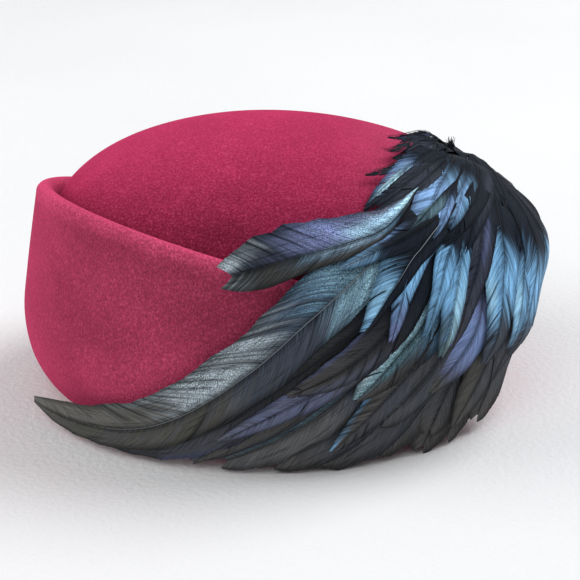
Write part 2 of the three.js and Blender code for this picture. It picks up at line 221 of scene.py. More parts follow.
COVER_FEATHERS = [
    feather(13, [[362, 89], [358, 70], [355, 52]], (SKY, BOTH, 62, 46, 0.7), settle=4.0),
    feather(18, [[362, 90], [348, 70], [346, 50], [339, 34]], (SKY, BOTH, 62, 35, 0.8),
        (SLATE, BOTH, 40, 28, 0.7), settle=3.0, sink=-1.0, slits=([0.68], [0.6, 0.74])),
    feather(18, [[362, 91], [342, 70], [336, 50], [326, 31]], (SKY, BOTH, 62, 38, 0.85),
        (SLATE, BOTH, 42, 26, 0.7), settle=2.0, sink=-1.0, slits=([0.66, 0.75], [0.6, 0.7, 0.8])),
    feather(14, [[361, 92], [336, 71], [330, 51], [323, 36]], (SKY, BOTH, 63, 36, 0.75),
        (PALE, LEFT, 56, 42, 0.35), (STEEL, RIGHT, 50, 34, 0.8), taper_from=0.55,
        slits=([0.55], [0.6, 0.68])),
    feather(18, [[360, 92], [329, 75], [321.5, 53], [315, 34]], (SKY, LEFT, 72, 40, 0.95),
        (SKY, RIGHT, 70, 46, 0.9), (PALE, LEFT, 63, 48, 0.5, OUTER), (SLATE, BOTH, 44, 26, 0.9),
        taper_from=0.65, slits=([0.65, 0.78, 0.86], [0.7])),
    feather(11, [[358, 93], [323, 77], [311, 58], [305, 44]], (VIOLET, BOTH, 76, 40, 0.3),
        (LAVENDER, LEFT, 58, 38, 0.8, OUTER), (LAVENDER, RIGHT, 79, 70, 0.5, SPINE), taper_from=0.65,
        slits=([0.66, 0.74, 0.82], [])),
    feather(11, [[356, 93], [316, 78], [307.5, 60], [302.5, 41]], (SKY, BOTH, 73, 50, 0.95),
        (PALE, RIGHT, 66, 38, 0.4), (TEAL, LEFT, 50, 34, 0.6), taper_from=0.75, right_width=(0.8, 0.8),
        slits=([0.62], [])),
    feather(10, [[352, 93], [311, 76], [303, 62], [298, 49]], (SKY, BOTH, 74, 54, 0.9),
        (STEEL, BOTH, 62, 46, 0.8)),
    feather(11, [[348, 93], [304, 79], [298.5, 73.5], [295, 67], [293, 60], [291, 50]],
        (SKY, BOTH, 77, 56, 1.0), (LAVENDER, BOTH, 63, 46, 0.7), taper_from=0.6,
        slits=([0.74, 0.84], [0.8])),
    feather(20, [[344, 93], [306, 79.5], [293, 68], [285, 55]], (SKY, LEFT, 69.5, 55, 0.9),
        (PALE, LEFT, 67, 59, 0.3), taper_from=0.62, right_width=(0.4, 0.4), slits=([0.68, 0.8], []),
        pale_shaft=0.5),
    feather(10, [[340, 93], [305, 82], [290, 77], [280, 74]], (PERIWINKLE, LEFT, 80, 76.5, 0.8, EDGE),
        (STEEL, BOTH, 77, 70, 0.8), (SILVER, BOTH, 76, 70, 0.25, SPINE)),
]
NOTCHED_FEATHERS = [
    feather(20, [[322, 91.5], [311, 90.5], [302.5, 87], [294.5, 83], [284.5, 80], [270, 77.5], [257, 74]],
        (SLATE, LEFT, 0.1, 1.2, 0.5), (OLIVE, RIGHT, 0.4, 1.2, 0.5), (VIOLET, LEFT, 0.3, 0.82, 1.0),
        (LAVENDER, LEFT, 0.5, 0.84, 0.7), (STEEL, RIGHT, 0.36, 0.8, 0.7, SPINE),
        (SILVER, RIGHT, 0.46, 0.72, 0.3, SPINE), (PERIWINKLE, LEFT, 0.2, 0.6, 0.8, SPINE),
        (PALE, LEFT, 0.02, 0.46, 0.9, SPINE), (PALE, LEFT, 0.38, 0.6, 0.45, SPINE),
        (PALE, RIGHT, -0.1, 0.3, 0.6, SPINE), (SILVER, LEFT, 0.92, 1.3, 0.8, OUTER),
        (SILVER, BOTH, 0.98, 1.3, 0.5), tip="blunt", taper_from=0.72, root_width=-0.35, opening=2.4,
        right_width=(0.05, 0.72), wavy=0.08, notch=2.6, settle=0.8, slits=([0.58, 0.66, 0.77], [0.62]),
        slit=0.1, grit=1.0),
]
HACKLES = [
    feather(13, [[376, 86], [367, 80], [360, 70]], sink=4.0),
    feather(14, [[374, 88], [360, 81], [351, 71]], sink=4.0),
    feather(14, [[372, 90], [354, 82], [342, 72]], sink=3.5),
    feather(15, [[370, 91], [346, 84], [333, 73]], sink=2.5),
    feather(14, [[372, 92.5], [352, 89], [338, 80]], settle=0.5, sink=1.5),
    feather(10, [[362, 93], [322, 83], [308, 76]], settle=1.0),
    feather(10, [[362, 93], [316, 84], [301, 78]], settle=1.0),
    feather(15, [[366, 93], [333, 86.5], [319, 78.5], [313, 72]], (SLATE, RIGHT, 0.4, 0.9, 0.5, OUTER),
        taper_from=0.4, settle=1.5),
    feather(8, [[362, 94], [314, 87], [297, 80]], (TEAL, BOTH, 0.7, 1.0, 0.5), settle=1.0),
    feather(11, [[364, 94], [326, 87.5], [311, 79.5]], (STEEL, BOTH, 0.6, 1.0, 0.75),
        (PERIWINKLE, BOTH, 0.66, 0.98, 0.35, SPINE), settle=0.5, slits=([0.8], []), slit=0.1),
    feather(5, [[362, 94], [322, 88], [305, 78]], (PERIWINKLE, BOTH, 0.75, 0.98, 0.6), settle=0.5),
    feather(15, [[364, 95], [322, 90.5], [298, 80]], (STEEL, BOTH, 0.5, 0.9, 0.7),
        (PERIWINKLE, BOTH, 0.6, 1.25, 0.5), taper_from=0.62, settle=1.5,
        slits=([0.6, 0.69, 0.78], [0.63, 0.8]), slit=0.08),
    feather(8, [[362, 95], [321, 92.5], [291, 87]], (SLATE, BOTH, 0.5, 0.95, 0.4), settle=3.0, hairs=5),
    feather(8, [[362, 95], [324, 94], [300, 91], [291, 88.5]], (SLATE, BOTH, 0.5, 0.95, 0.4), settle=4.0,
        hairs=8),
    feather(9, [[364, 95], [328, 96], [303, 93.5], [293, 90]], (PERIWINKLE, BOTH, 0.62, 0.98, 0.5),
        (PALE, BOTH, 0.7, 0.94, 0.8, SPINE), settle=6.0, loose=0.2, hairs=8),
    feather(10, [[366, 94], [340, 97], [322, 99]], settle=4.5, sink=1.0, hairs=8),
    feather(5, [[362, 94.5], [322, 94], [302, 94]], (SLATE, BOTH, 0.5, 0.95, 0.5), settle=5.0, sink=0.5,
        loose=0.3, hairs=16),
    feather(6, [[364, 95], [326, 96], [300, 97]], (SLATE, BOTH, 0.5, 0.95, 0.5), settle=5.0, sink=0.5,
        loose=0.4, hairs=22),
    feather(8, [[365, 95], [338, 97], [314, 97]], (VIOLET, BOTH, 0.5, 0.95, 0.5), settle=5.0, sink=0.5,
        loose=0.4, hairs=22),
    feather(7, [[366, 94], [346, 98], [324, 100]], (SLATE, BOTH, 0.5, 0.95, 0.5), settle=4.0, sink=1.0,
        loose=0.4, hairs=22),
    feather(7, [[368, 93.5], [357, 97], [340, 101.5]], (LAVENDER, RIGHT, 0.5, 0.9, 0.35), settle=3.0,
        sink=1.5, loose=0.4, hairs=18),
]
# Loose dark barbs beside the hackles, which start and last for shares of the hackle's length,
# and a tuft that stands up from the roots.
HAIR = Sizes(radius=0.09, tip_radius=0.025, points=6, starts=(0.0, 0.75), lengths=(0.25, 0.5))
TUFT = Sizes(
    place=(363.0, 93.6), lift=3.0, strands=44, lean=0.16, reach=1.1, thick=2.5, lengths=(3.0, 6.0),
)


# ---- surfaces of the hat
def mix(a, b, share):
    return a + (b - a) * share


def smoothstep(value, low, high):
    t = np.clip((value - low) / (high - low), 0.0, 1.0)
    return t * t * (3.0 - 2.0 * t)


def fade_out(value, low, high):
    return 1.0 - smoothstep(value, low, high)


def unit(vectors):
    return vectors / np.linalg.norm(vectors, axis=-1, keepdims=True)


def distances(points):
    """How far along a line of points each one lies."""
    return np.concatenate([[0.0], np.cumsum(np.linalg.norm(np.diff(points, axis=0), axis=1))])


def read_outline(side, height):
    """Reads the cuff's outline on one side, with a smooth curve through its values."""
    heights = np.array(CUFF_OUTLINE["height"])
    values = np.array(CUFF_OUTLINE[side])
    last = len(heights) - 1
    before = np.maximum(np.arange(last + 1) - 1, 0)
    after = np.minimum(np.arange(last + 1) + 1, last)
    slopes = (values[after] - values[before]) / (heights[after] - heights[before])
    inside = np.clip(height, heights[0], heights[last])
    i = np.clip(np.searchsorted(heights, inside, side="right") - 1, 0, last - 1)
    step = heights[i + 1] - heights[i]
    t = (inside - heights[i]) / step
    leave, arrive, change = step * slopes[i], step * slopes[i + 1], values[i + 1] - values[i]
    turn = 3 * change - 2 * leave - arrive
    return values[i] + leave * t + turn * t**2 + (leave + arrive - 2 * change) * t**3


def up_dome(height):
    """Share of the way from the crown's widest height to its top, below 0 under the former."""
    return (height - CROWN.widest_height) / CROWN.rise


def crown_radius(azimuth, height):
    up = up_dome(height)
    swell = np.sin(0.5 * np.pi * np.minimum(height / CROWN.widest_height, 1.0))
    below = mix(CROWN.opening_half_width, CROWN.half_width, swell)
    above = CROWN.half_width * np.sqrt(1.0 - np.clip(up, 0.0, 1.0) ** 2)
    return np.where(up < 0.0, below, above) * (1.0 + CROWN.sway * np.cos(azimuth))


def rim_height(azimuth):
    return CUFF.rim_mean + CUFF.rim_swing * np.cos(azimuth - math.radians(CUFF.rim_peak))


def cuff_radius(azimuth, height):
    feathered = 0.5 * (1.0 + np.cos(azimuth))
    return mix(read_outline("plain", height), read_outline("feathered", height), feathered)


def on_oval(azimuth, radius, height):
    """Places a radius on the hat's oval, with the crown's lean above its widest height."""
    x = radius * np.cos(azimuth)
    y = DEPTH_RATIO * radius * np.sin(azimuth)
    z = height + CROWN.lean * x * np.maximum(up_dome(height), 0.0)
    return np.stack([HAT_CENTRE[0] + x, HAT_CENTRE[1] + y, z], axis=-1)


def drape_radius(azimuth, height):
    """The surface feathers lie on: the crown, over the cuff's rim, then down."""
    rim = rim_height(azimuth)
    over_rim = fade_out(height, rim + DRAPE.rim_from, rim + DRAPE.rim_to)
    below_belly = np.maximum(DRAPE.belly - height, 0.0)
    hang = cuff_radius(azimuth, np.maximum(height, DRAPE.belly)) - DRAPE.draw_in * below_belly
    crown = crown_radius(azimuth, height)
    puff = DRAPE.puff * np.exp(-(((height - DRAPE.puff_height) / DRAPE.puff_reach) ** 2))
    feathered = np.maximum(np.cos(azimuth), 0.0) ** 3
    return np.maximum(mix(crown, hang, over_rim), crown) + puff * feathered


def drape_point(azimuth, height, lift):
    """Points at a lift over the drape surface, with the surface's two directions there."""
    step = 0.01

    def at(a, h):
        return on_oval(a, drape_radius(a, h), h)

    around = (at(azimuth + step, height) - at(azimuth - step, height)) / (2 * step)
    up = (at(azimuth, height + step) - at(azimuth, height - step)) / (2 * step)
    outward = unit(np.cross(around, up))
    return at(azimuth, height) + outward * np.asarray(lift)[..., None], around, up


# ---- meshes
NO_TRIANGLES = np.zeros((0, 3), int)


def make_mesh(name, points, quads, triangles=NO_TRIANGLES):
    """A smooth-shaded mesh object in metres, from arrays of points and faces."""
    mesh = bpy.data.meshes.new(name)
    corners = np.concatenate([quads.ravel(), triangles.ravel()])
    counts = np.concatenate([np.full(len(quads), 4), np.full(len(triangles), 3)])
    mesh.vertices.add(len(points))
    mesh.vertices.foreach_set("co", (points * MM).astype(np.float32).ravel())
    mesh.loops.add(len(corners))
    mesh.loops.foreach_set("vertex_index", corners.astype(np.int32))
    mesh.polygons.add(len(counts))
    mesh.polygons.foreach_set("loop_start", (np.cumsum(counts) - counts).astype(np.int32))
    mesh.update(calc_edges=True)
    mesh.shade_smooth()
    mesh.validate()
    piece = bpy.data.objects.new(name, mesh)
    bpy.context.scene.collection.objects.link(piece)
    return piece


def quad_grid(rows, columns, close_rows=False, close_columns=False):
    """Quads between the points of a grid, which may run on from its last row or column to the first."""
    grid = np.arange(rows * columns).reshape(rows, columns)
    if close_rows:
        grid = np.vstack([grid, grid[:1]])
    if close_columns:
        grid = np.hstack([grid, grid[:, :1]])
    return np.stack([grid[:-1, :-1], grid[1:, :-1], grid[1:, 1:], grid[:-1, 1:]], axis=-1)


def closed_rings(name, rings):
    """A closed skin from rings of points (turns, points in a section, 3)."""
    turns, size = rings.shape[:2]
    quads = quad_grid(turns, size, close_rows=True, close_columns=True).reshape(-1, 4)
    piece = make_mesh(name, rings.reshape(-1, 3), quads[:, ::-1])
    merged = bmesh.new()
    merged.from_mesh(piece.data)
    bmesh.ops.remove_doubles(merged, verts=merged.verts, dist=1e-6)
    bmesh.ops.recalc_face_normals(merged, faces=merged.faces)
    merged.to_mesh(piece.data)
    merged.free()
    return piece


def join_parts(name, parts):
    """One mesh object from parts: points, quads, triangles, then values for each point.
    Gives the object and the joined values."""
    points, quads, triangles, *values = zip(*parts)
    firsts = np.cumsum([0] + [len(each) for each in points])
    quads = np.concatenate([faces + first for faces, first in zip(quads, firsts)])
    triangles = np.concatenate([faces + first for faces, first in zip(triangles, firsts)])
    piece = make_mesh(name, np.concatenate(points), quads, triangles)
    return piece, [np.concatenate(each) for each in values]


def add_numbers(piece, **columns):
    """Stores a number at each point under each name, or a colour where there are four."""
    for name, values in columns.items():
        kind, field = ("FLOAT", "value") if values.ndim == 1 else ("FLOAT_COLOR", "color")
        attribute = piece.data.attributes.new(name, kind, "POINT")
        attribute.data.foreach_set(field, values.astype(np.float32).ravel())


def add_uv(piece, uv):
    layer = piece.data.uv_layers.new(name="barbs")
    corners = np.empty(len(piece.data.loops), np.int32)
    piece.data.loops.foreach_get("vertex_index", corners)
    layer.uv.foreach_set("vector", uv[corners].astype(np.float32).ravel())


# ---- materials
class Material:
    """A node material, with short calls for its nodes. A value that a call takes may be a constant
    or another node's output."""

    def __init__(self, name, roughness, **constants):
        self.material = bpy.data.materials.new(name)
        self.material.use_nodes = True
        self.tree = self.material.node_tree
        self.shader = self.tree.nodes["Principled BSDF"]
        self.feed("Roughness", roughness)
        for socket, value in constants.items():
            self.feed(socket.replace("_", " "), value)

    def give(self, socket, value):
        if isinstance(value, bpy.types.NodeSocket):
            self.tree.links.new(value, socket)
        else:
            socket.default_value = value

    def feed(self, name, value):
        self.give(self.shader.inputs[name], value)

    def node(self, kind, inputs=None, **settings):
        """Adds a node with these values at its inputs, and gives its outputs."""
        made = self.tree.nodes.new(kind)
        for name, value in settings.items():
            setattr(made, name, value)
        for name, value in (inputs or {}).items():
            self.give(made.inputs[name], value)
        return made.outputs

    def place(self):
        return self.node("ShaderNodeTexCoord")["Object"]

    def stored(self, name):
        """What the mesh stores at its points under this name."""
        return self.node("ShaderNodeAttribute", attribute_name=name)

    def scaled(self, vector, scale):
        return self.node("ShaderNodeMapping", {"Vector": vector, "Scale": scale})["Vector"]

    def noise(self, vector, scale, detail=2.0, roughness=0.5):
        inputs = {"Vector": vector, "Scale": scale, "Detail": detail, "Roughness": roughness}
        return self.node("ShaderNodeTexNoise", inputs)["Fac"]

    def spread(self, value, low, high, to_low=0.0, to_high=1.0):
        limits = {"From Min": low, "From Max": high, "To Min": to_low, "To Max": to_high}
        return self.node("ShaderNodeMapRange", {"Value": value, **limits})["Result"]

    def math(self, operation, a, b):
        return self.node("ShaderNodeMath", {0: a, 1: b}, operation=operation)["Value"]

    def blend(self, share, *colours):
        a, b = ((*each, 1.0) if isinstance(each, tuple) else each for each in colours)
        return self.node("ShaderNodeMix", {"Factor": share, "A": a, "B": b}, data_type="RGBA")["Result"]

    def scale_colour(self, colour, factor):
        inputs = {"Vector": colour, "Scale": factor}
        return self.node("ShaderNodeVectorMath", inputs, operation="SCALE")["Vector"]

    def bump(self, height, strength, distance):
        inputs = {"Height": height, "Strength": strength, "Distance": distance}
        self.feed("Normal", self.node("ShaderNodeBump", inputs)["Normal"])


def felt_material():
    """Short velour nap: a deep pink that glows where it is seen edge on."""
    felt = Material(
        "velour_felt", 1.0,
        Sheen_Weight=0.8, Sheen_Roughness=0.6, Sheen_Tint=(0.72, 0.055, 0.17, 1.0),
        Specular_IOR_Level=0.05,
    )
    place = felt.place()
    nap = felt.noise(felt.scaled(place, (1.0, 1.0, 0.55)), 2400.0, roughness=0.6)
    tufts = felt.noise(felt.scaled(place, (1.0, 1.0, 0.8)), 1150.0, detail=3.0, roughness=0.7)
    strokes = felt.noise(felt.scaled(place, (1.0, 1.0, 1.8)), 30.0, detail=4.0, roughness=0.6)
    deep, mid, bright = (0.10, 0.004, 0.016), (0.28, 0.017, 0.058), (0.54, 0.070, 0.165)
    pale_tone_colour = (0.30, 0.10, 0.14)
    grain = felt.blend(felt.spread(nap, 0.36, 0.62), deep, mid)
    colour = felt.blend(felt.spread(tufts, 0.48, 0.76, 0.0, 0.75), grain, bright)
    # Paler tint, partly a painted highlight, then painted light and shade that scale the colour.
    bloomed = felt.blend(felt.stored("bloom")["Fac"], colour, pale_tone_colour)
    shade = felt.math("ADD", felt.spread(strokes, 0.35, 0.65, 0.80, 1.16), felt.stored("fold")["Fac"])
    felt.feed("Base Color", felt.scale_colour(bloomed, shade))
    felt.bump(nap, 0.6, 0.0005)
    return felt.material


def vane_material():
    """Feather vane: colours painted along the barbs, fine streaks, specks, and a satin gloss."""
    vane = Material("feather_vane", 0.45, Specular_IOR_Level=0.02)
    painted = vane.stored("vane_colour")
    barbs = vane.node("ShaderNodeUVMap", uv_map="barbs")["UV"]
    streaks = vane.noise(vane.scaled(barbs, (2.4, 0.10, 1.0)), 1.0, detail=3.0, roughness=0.65)
    crimps = vane.noise(vane.scaled(barbs, (0.05, 0.75, 1.0)), 1.0)
    specks = vane.noise(vane.place(), 2100.0, roughness=0.7)
    streak_gain = vane.spread(streaks, 0.3, 0.7, 0.35, 1.5)
    crimp_gain = vane.spread(crimps, 0.33, 0.42, 0.5, 1.0)
    speckle = vane.spread(specks, 0.40, 0.60, -0.6, 0.3)
    speck_gain = vane.math("ADD", vane.math("MULTIPLY", speckle, vane.stored("grit")["Fac"]), 1.0)
    gain = vane.math("MULTIPLY", vane.math("MULTIPLY", streak_gain, crimp_gain), speck_gain)
    vane.feed("Base Color", vane.scale_colour(painted["Color"], gain))
    vane.feed("Metallic", vane.math("MULTIPLY", painted["Alpha"], 0.3))
    vane.bump(streaks, 0.5, 0.00015)
    return vane.material


def shaft_material():
    """Feather shaft: smooth horn, nearly black, and paler on the feathers whose rows say so."""
    shaft = Material("feather_shaft", 0.5, Specular_IOR_Level=0.1)
    dark, pale = (0.012, 0.015, 0.022), (0.42, 0.46, 0.52)
    shaft.feed("Base Color", shaft.blend(shaft.stored("pale_shaft")["Fac"], dark, pale))
    return shaft.material


def hair_material():
    """Loose barbs at the roots: soft, nearly black."""
    hair = Material("feather_hair", 0.7, Specular_IOR_Level=0.2)
    dark, light = (0.008, 0.010, 0.014), (0.030, 0.036, 0.048)
    tone = hair.spread(hair.noise(hair.place(), 220.0), 0.3, 0.7)
    hair.feed("Base Color", hair.blend(tone, dark, light))
    return hair.material


def floor_material():
    floor = Material("pale_floor", 0.9)
    place = floor.place()
    dark, light = (0.69, 0.69, 0.69), (0.73, 0.73, 0.73)
    floor.feed("Base Color", floor.blend(floor.spread(floor.noise(place, 3.0), 0.3, 0.7), dark, light))
    floor.bump(floor.noise(place, 420.0, detail=3.0), 0.5, 0.0008)
    return floor.material


# ---- felt
AROUND = 300
AZIMUTHS = np.arange(AROUND) * (2.0 * np.pi / AROUND)


def ripple(azimuth, height, seed):
    """Slight unevenness of hand-blocked felt, about 1 high."""
    rng = np.random.default_rng(seed)
    total = 0.0
    for turns in RIPPLE_WAVES:
        phase, wave = rng.uniform(0, 2 * np.pi), rng.uniform(0.03, 0.09)
        total = total + np.sin(turns * azimuth + wave * height + phase) / turns
    return total


def make_crown():
    rising = mix(FELT + GAP, CROWN.widest_height, np.linspace(0.0, 1.0, 22, endpoint=False))
    doming = CROWN.widest_height + CROWN.rise * np.sin(0.5 * np.pi * np.linspace(0.0, 1.0, 46))
    azimuth, height = np.meshgrid(AZIMUTHS, np.concatenate([rising, doming]), indexing="ij")
    free = smoothstep(height, 12.0, 40.0) * fade_out(height, 98.0, 105.0)
    radius = crown_radius(azimuth, height) + RIPPLE * free * ripple(azimuth, height, seed=3)
    outside = on_oval(azimuth, radius, height)
    inside = on_oval(azimuth, np.maximum(radius - FELT, 0.0), height)
    inside[..., 2] = outside[..., 2] - FELT * np.maximum(up_dome(height), 0.0)
    crown = closed_rings("crown_felt", np.concatenate([inside, outside[:, ::-1]], axis=1))
    x, _, z = np.array([vertex.co for vertex in crown.data.vertices]).T / MM
    # Painted light and shade: lighter at the top, beside the feathers and low on the left, darker low at
    # the front.
    near_feathers = smoothstep(x, 10.0, 65.0) * smoothstep(z, 86.0, 100.0)
    front = smoothstep(x, -45.0, -12.0) * fade_out(z, 82.0, 104.0)
    left = fade_out(x, -70.0, -35.0) * fade_out(z, 76.0, 98.0)
    fold = mix(CROWN_SHADE.low, CROWN_SHADE.top, smoothstep(z, 72.0, 104.0))
    fold += CROWN_SHADE.near_feathers * near_feathers + CROWN_SHADE.left * left
    fold += CROWN_SHADE.front * front
    add_numbers(crown, fold=fold, bloom=PALE_TONE_AND_SHEEN.near_feathers * near_feathers)
    return crown


def pairs(a, b):
    """Pairs of values, where either may be the same all along."""
    return np.stack(np.broadcast_arrays(a, b), axis=-1)


def cuff_section(azimuth):
    """Radius and height round the cuff's section: flat fold, wall, rolled rim, hem and inside."""
    roll = CUFF.roll_radius + CUFF.roll_sway * np.cos(azimuth)
    roll_height = rim_height(azimuth) - roll
    hem_end = roll_height - CUFF.hem
    fold_inside = crown_radius(azimuth, 0.0) - FELT
    fold_edge = cuff_radius(azimuth, 0.0)
    heights = roll_height * np.linspace(0.0, 1.0, 40) ** 1.3
    wall = pairs(cuff_radius(azimuth, heights), heights)
    centre = wall[-1, 0] - roll
    turn = np.radians(np.linspace(CUFF.roll_from, 180.0, 15))
    rolled = pairs(centre + roll * np.cos(turn), roll_height + roll * np.sin(turn))
    hem = pairs(centre - roll, mix(roll_height, hem_end, np.linspace(0.25, 1.0, 4)))
    down = mix(hem_end, FELT, np.linspace(0.0, 1.0, 24) ** 0.8)
    inner = pairs(cuff_radius(azimuth, down) - FELT, down)
    floor = pairs(np.linspace(fold_edge, fold_inside, 6)[::-1], 0.0)
    ceiling = pairs(np.linspace(fold_edge - FELT, fold_inside, 5)[1:], FELT)
    return np.concatenate([floor[:-1], wall, rolled, hem, inner, ceiling])


def make_cuff():
    rings, folds, blooms = [], [], []
    for azimuth in AZIMUTHS:
        radius, height = cuff_section(azimuth).T
        placed = on_oval(azimuth, radius, 0.0)
        placed[:, 2] = height
        rings.append(placed)
        # Painted highlight on the crest, strongest at glow_at, and painted light low down, in front and on
        # the left.
        facing = max(math.cos(azimuth - math.radians(CUFF_SHADE.glow_at)), 0.0) ** 4
        crest = CUFF_SHADE.crest + CUFF_SHADE.crest_glow * facing
        crest = crest * smoothstep(height - rim_height(azimuth), -7.0, -0.5)
        side = CUFF_SHADE.side * smoothstep(-math.cos(azimuth), 0.75, 0.97)
        front = smoothstep(-math.sin(azimuth), 0.6, 0.95)
        foot = CUFF_SHADE.foot * fade_out(height, 5.0, 50.0)
        belly = CUFF_SHADE.belly * front * fade_out(height, 30.0, 72.0)
        folds.append(crest + foot + belly + side)
        blooms.append(PALE_TONE_AND_SHEEN.cuff + PALE_TONE_AND_SHEEN.cuff_foot * fade_out(height, 0.0, 26.0))
    cuff = closed_rings("cuff_felt", np.array(rings))
    add_numbers(cuff, fold=np.concatenate(folds), bloom=np.concatenate(blooms))
    return cuff


# ---- building feathers
def smooth_path(points, count):
    """Centripetal Catmull-Rom curve through points, at equal steps of its length."""
    points = np.array(points, float)
    ends = 2 * points[0] - points[1], 2 * points[-1] - points[-2]
    padded = np.vstack([ends[0], points, ends[1]])
    t = np.linspace(0.0, 1.0, 60)[:, None]
    pieces = []
    for p0, p1, p2, p3 in zip(padded, padded[1:], padded[2:], padded[3:]):
        d0, d1, d2 = (np.sqrt(np.linalg.norm(b - a)) for a, b in ((p0, p1), (p1, p2), (p2, p3)))
        leave = ((p1 - p0) / d0 - (p2 - p0) / (d0 + d1) + (p2 - p1) / d1) * d1
        arrive = ((p2 - p1) / d1 - (p3 - p1) / (d1 + d2) + (p3 - p2) / d2) * d1
        turn = -3 * p1 + 3 * p2 - 2 * leave - arrive
        close = 2 * p1 - 2 * p2 + leave + arrive
        pieces.append(p1 + leave * t + turn * t**2 + close * t**3)
    dense = np.vstack(pieces)
    length = distances(dense)
    wanted = np.linspace(0.0, length[-1], count)
    return np.stack([np.interp(wanted, length, column) for column in dense.T], axis=-1)


def feather_taper(along, row):
    """Share of a feather's full width: narrow at the root, and pointed or blunt at the tip."""
    blunt = row.get("tip") == "blunt"
    taper_from = row.get("taper_from", VANE.blunt_from if blunt else VANE.taper_from)
    to_tip = np.clip((along - taper_from) / (VANE.point_at - taper_from), 0.0, 1.0)
    end = np.sqrt(1.0 - to_tip**2) if blunt else 1.0 - to_tip**2.2
    root_width = row.get("root_width", VANE.root_width)
    opened = root_width + row.get("opening", VANE.opening) * along
    return np.clip(opened, VANE.least_width, 1.0) * end


class Shaft:
    """A feather's shaft on the drape surface, read by the distance from its root."""

    STATIONS = 160
    BEYOND = 6.0
    REACH = CROWN.half_width

    def __init__(self, tier, row, order):
        self.row = row = {**TIERS[tier], **row}
        self.lift = row["lift"] + row["step"] * order - row.get("sink", 0.0)
        flat = smooth_path([[math.radians(a) * self.REACH, h] for a, h in row["path"]], self.STATIONS)
        heading = np.gradient(flat, axis=0)
        flat = np.vstack([flat, flat[-1] + (flat[-1] - flat[-2]) * self.BEYOND])
        heading = np.vstack([heading, heading[-1:]])
        self.azimuth = flat[:, 0] / self.REACH
        self.height = flat[:, 1]
        beyond = 1.0 + self.BEYOND / (self.STATIONS - 1)
        self.share = np.append(np.linspace(0.0, 1.0, self.STATIONS), beyond)
        point, around, up = drape_point(self.azimuth, self.height, self.lift)
        forward = around * heading[:, :1] / self.REACH + up * heading[:, 1:]
        side = unit(np.cross(unit(np.cross(around, up)), forward))
        aa, au, uu = ((p * q).sum(-1) for p, q in ((around, around), (around, up), (up, up)))
        spread = aa * uu - au * au
        on_around, on_up = (side * around).sum(-1), (side * up).sum(-1)
        self.step_around = (on_around * uu - on_up * au) / spread
        self.step_up = (on_up * aa - on_around * au) / spread
        self.distance = distances(point)
        self.length = self.distance[self.STATIONS - 1]
        self.end = self.length * VANE.barbs_to - row.get("notch", 0.0)

    def read(self, column, distance):
        return np.interp(distance, self.distance, column)

    def half_width(self, distance, side=LEFT):
        share = self.read(self.share, distance)
        at_root, at_tip = self.row.get("right_width", (1.0, 1.0)) if side == RIGHT else (1.0, 1.0)
        return 0.5 * mix(at_root, at_tip, share) * self.row["width"] * feather_taper(share, self.row)

    def place(self, distance, across, rise):
        """Points at a distance along the shaft, a signed distance across it, and a rise."""
        azimuth = self.read(self.azimuth, distance) + across * self.read(self.step_around, distance)
        height = self.read(self.height, distance) + across * self.read(self.step_up, distance)
        share = self.read(self.share, distance)
        settled = self.row.get("settle", 0.0) * smoothstep(share, VANE.settle_from, 1.0)
        rooted = self.row.get("root_drop", 0.0) * fade_out(share, 0.0, self.row.get("rise_to", 1.0))
        return drape_point(azimuth, height, self.lift - settled - rooted + rise)[0]

    def tube(self, distance, across, rise, radii, sides=6):
        """A tube through points that are placed in the same way."""
        centres = self.place(distance, across, rise)
        return make_tube(centres, radii, self.place(distance, across, rise + 1.0) - centres, sides)


def wander(rng, count, spacing):
    """A column of smooth random values from -1 to 1, changing over about this many steps."""
    knots = rng.uniform(-1.0, 1.0, int(count / spacing) + 3)
    return np.interp(np.arange(count) / spacing, np.arange(len(knots)), knots)[:, None]


def share_at(shaft, height):
    """Share of the length at which a falling feather comes down to a height."""
    fall = shaft.height[0] - shaft.height
    slope = (shaft.share[-1] - shaft.share[-20]) / (fall[-1] - fall[-20])
    beyond = max(shaft.height[-1] - height, 0.0) * slope
    return np.interp(shaft.height[0] - height, fall, shaft.share) + beyond


def paint(shaft, share, height, across, side, rng):
    """Colour of one vane: ink near the root, soot low down, and the patches of sheen."""
    row, barbs = shaft.row, len(share)
    ragged = PATCH.ragged * wander(rng, barbs, 6) + PATCH.ragged * wander(rng, barbs, 1)
    uneven = sum(size * wander(rng, barbs, every) for size, every in VANE.streaks)
    streak = np.maximum(1.0 + row.get("streaks", 1.0) * uneven, 0.0)
    low = fade_out(height, SOOT_UP_TO, INK_DOWN_TO)
    colour = mix(np.array(INK), np.array(SOOT), low[..., None])
    gloss = np.zeros(share.shape)
    for sheen, vane, start, end, strength, *zone in row["patches"]:
        if vane not in (BOTH, side):
            continue
        inner, outer = zone[0] if zone else ALL
        if start > end:
            start, end = share_at(shaft, start), share_at(shaft, end)
        fade = max(0.5 * (end - start), PATCH.fade)
        glow = (
            smoothstep(share + ragged, start - PATCH.before, start + PATCH.after)
            * fade_out(share + ragged, end - fade, end + PATCH.past)
            * smoothstep(across, inner - PATCH.inner, inner + PATCH.inner)
            * fade_out(across, outer - PATCH.outer, outer + PATCH.outer)
            * strength
            * (np.sqrt(streak) if sheen in MATTE else streak)
        )
        colour = mix(colour, np.array(sheen), np.clip(glow, 0.0, 1.0)[..., None])
        if sheen not in MATTE:
            gloss = np.maximum(gloss, glow)
    # Painted shade beside the shaft and at the vane's edges.
    between = smoothstep(across, 0.0, 0.3) - smoothstep(across, 0.72, 1.0)
    colour = colour * mix(1.0 - VANE.dark_sides, 1.0, between)[..., None]
    return np.concatenate([colour, np.clip(gloss, 0.0, 1.0)[..., None]], axis=-1)


def barb_reach(shaft, starts, side):
    """How far each barb runs across before it meets the feather's outline."""
    low, high = np.zeros(starts.shape), np.full(starts.shape, float(shaft.row["width"]))
    for _ in range(16):
        middle = 0.5 * (low + high)
        inside = middle < shaft.half_width(starts + VANE.slant * middle, side)
        low, high = np.where(inside, middle, low), np.where(inside, high, middle)
    return low


